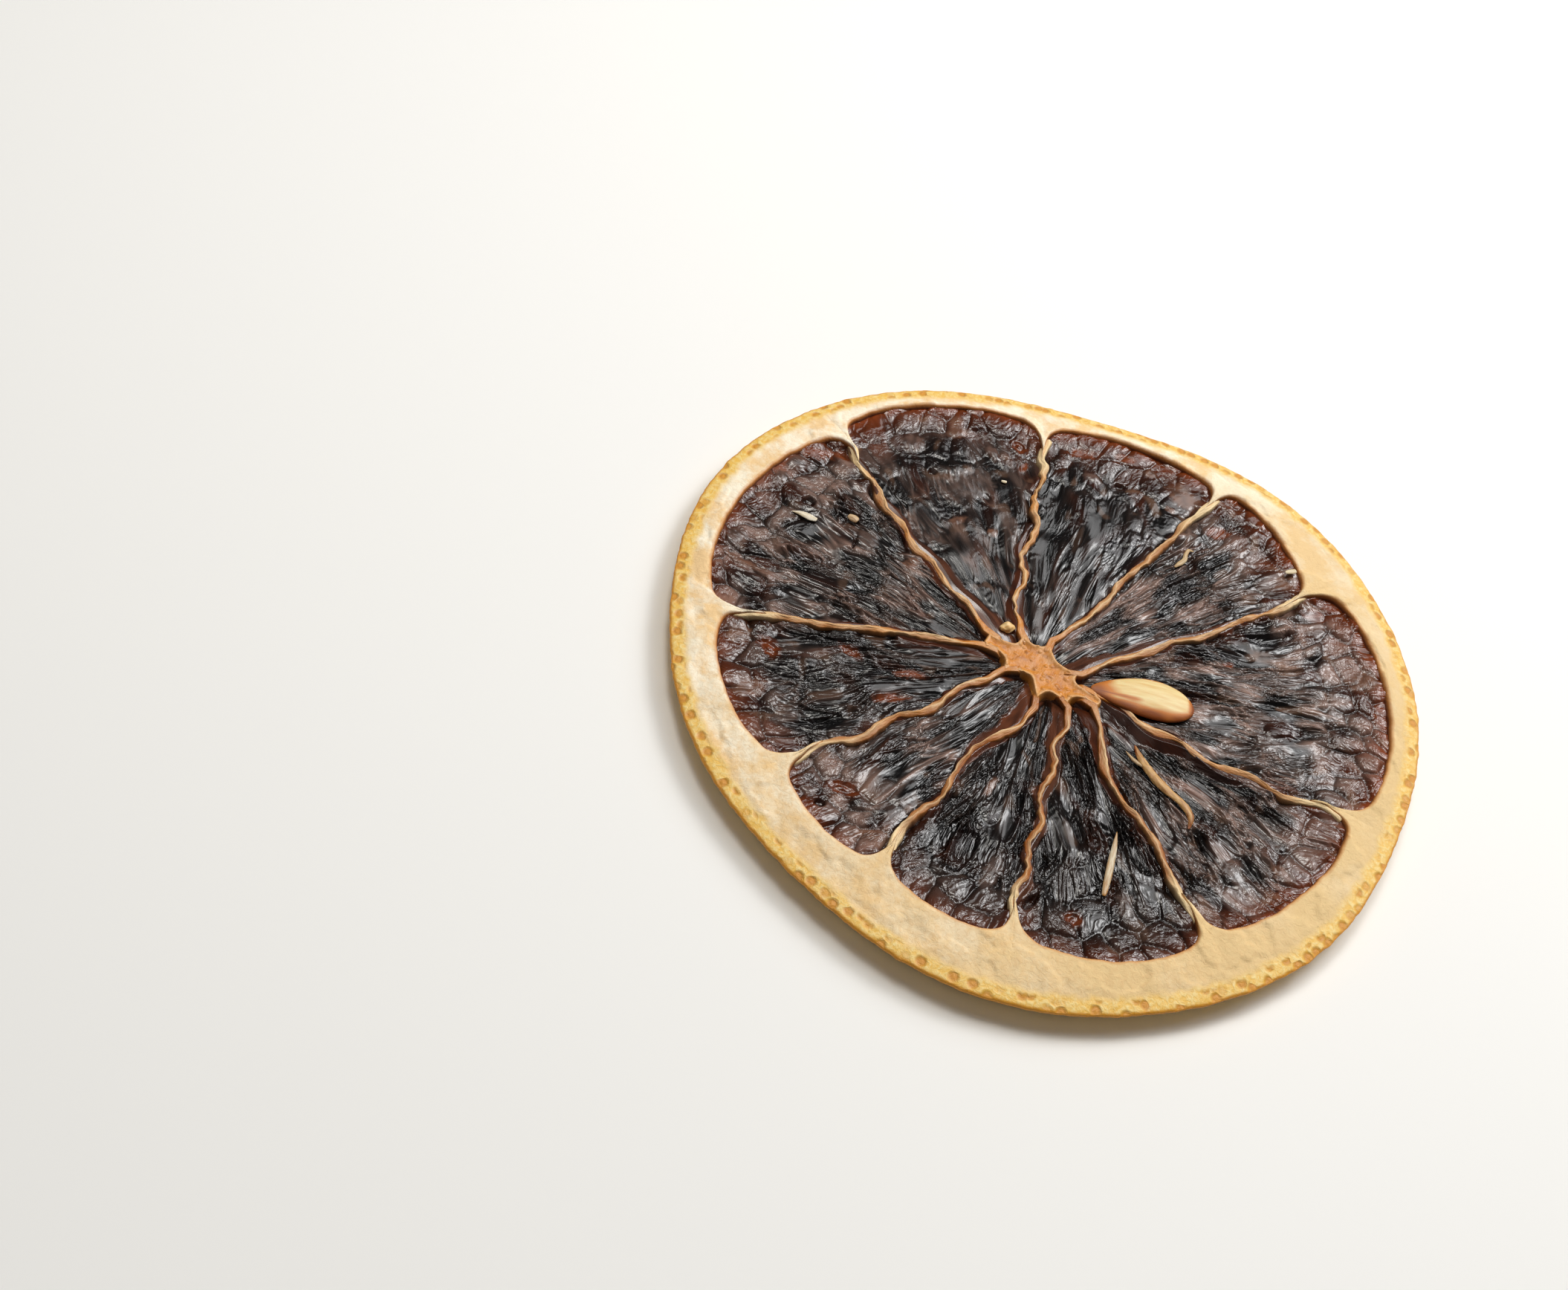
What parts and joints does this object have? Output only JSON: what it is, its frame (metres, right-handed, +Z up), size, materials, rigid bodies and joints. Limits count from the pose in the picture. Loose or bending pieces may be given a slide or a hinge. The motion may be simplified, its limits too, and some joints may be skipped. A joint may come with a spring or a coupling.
{
  "type": "dried citrus slice",
  "caption": "Round dried lemon slice: pale pith and yellow skin round dark sunken segments parted by thin membranes, with a seed by the core.",
  "frame": {"origin": "on the table, under the middle of the slice's outline", "axes": "+Z up out of the cut face that is seen; +Y points away from the camera of the picture, +X to its right, before the camera's roll"},
  "size_m": [0.0574, 0.0576, 0.0024],
  "materials": {
    "dried_lemon_slice": "dried, leathery; semi-gloss flesh, matt rind"
  },
  "bodies": {
    "root": {"dried_lemon_slice": "dried_lemon_slice"}
  },
  "joints": []
}
